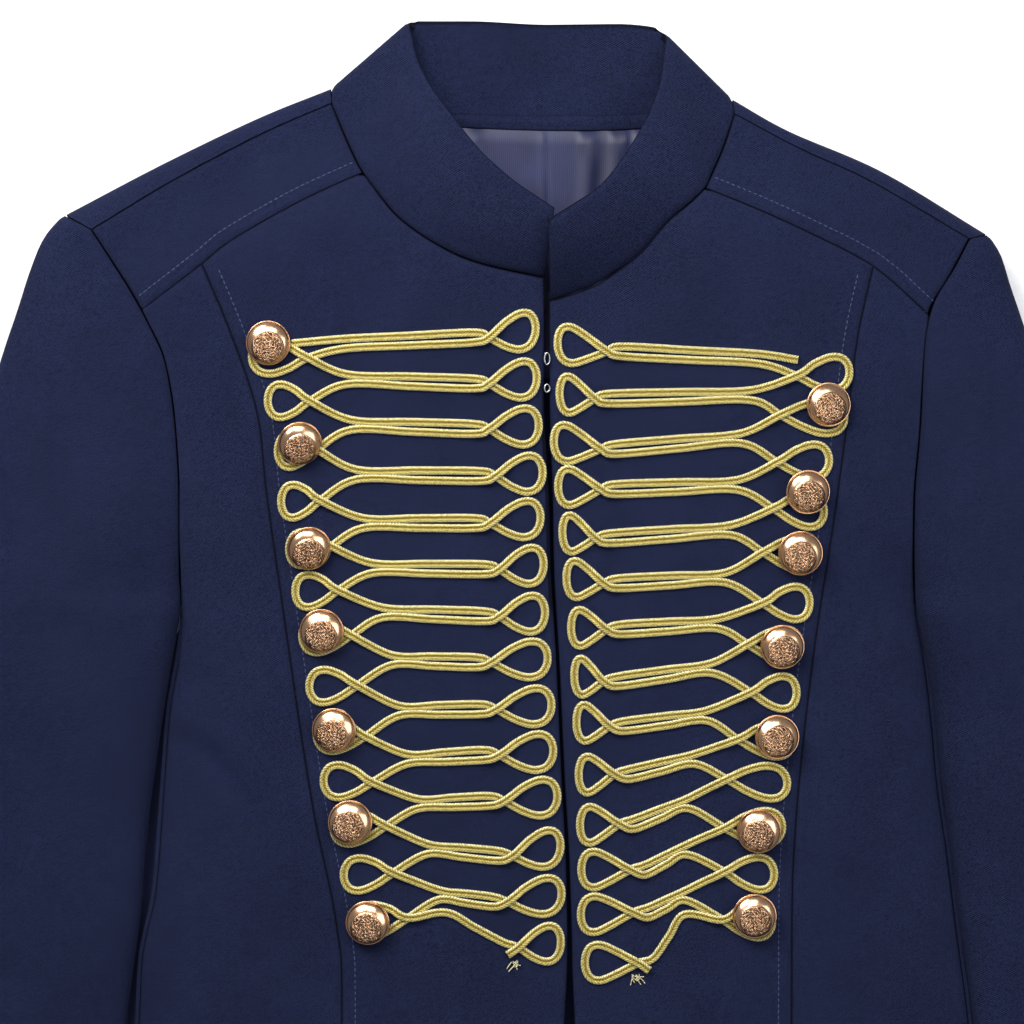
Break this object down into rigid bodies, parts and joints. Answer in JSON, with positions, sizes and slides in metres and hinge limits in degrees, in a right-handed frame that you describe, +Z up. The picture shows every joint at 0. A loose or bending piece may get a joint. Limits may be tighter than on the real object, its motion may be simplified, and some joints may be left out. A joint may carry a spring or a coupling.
{
  "type": "frogged military jacket",
  "caption": "Navy stand-collar military jacket laid flat, with looped gold braid frogging across the chest and domed rose-gold buttons.",
  "frame": {"origin": "on the surface that the jacket lies on, under the middle of its bounding box", "axes": "+Z up out of the jacket's front, +Y from the hem and cuffs towards the collar, +X towards the wearer's left side"},
  "size_m": [0.6334, 0.6788, 0.046],
  "materials": {
    "navy_suiting": "smooth fine twill wool suiting, matt",
    "blue_satin": "blue-violet satin lining, soft sheen",
    "gold_braid": "antique gold soutache braid, slightly metallic thread",
    "rose_gold_metal": "rose-gold plated, pressed relief, polished high spots",
    "hook_steel": "nickel-plated wire"
  },
  "bodies": {
    "root": {"back_centre": "navy_suiting", "back_side_right": "navy_suiting", "back_side_left": "navy_suiting", "front_centre_right": "navy_suiting", "front_centre_left": "navy_suiting", "front_side_right": "navy_suiting", "front_side_left": "navy_suiting", "front_yoke_right": "navy_suiting", "front_yoke_left": "navy_suiting", "sleeve_upper_right": "navy_suiting", "sleeve_upper_left": "navy_suiting", "sleeve_under_right": "navy_suiting", "sleeve_under_left": "navy_suiting", "collar": "navy_suiting", "neck_facing": "navy_suiting", "lining_back": "blue_satin", "braid_right": "gold_braid", "braid_left": "gold_braid", "button_right_1": "rose_gold_metal", "button_right_2": "rose_gold_metal", "button_right_3": "rose_gold_metal", "button_right_4": "rose_gold_metal", "button_right_5": "rose_gold_metal", "button_right_6": "rose_gold_metal", "button_right_7": "rose_gold_metal", "button_left_1": "rose_gold_metal", "button_left_2": "rose_gold_metal", "button_left_3": "rose_gold_metal", "button_left_4": "rose_gold_metal", "button_left_5": "rose_gold_metal", "button_left_6": "rose_gold_metal", "button_left_7": "rose_gold_metal", "hook_1": "hook_steel", "hook_2": "hook_steel"}
  },
  "joints": []
}
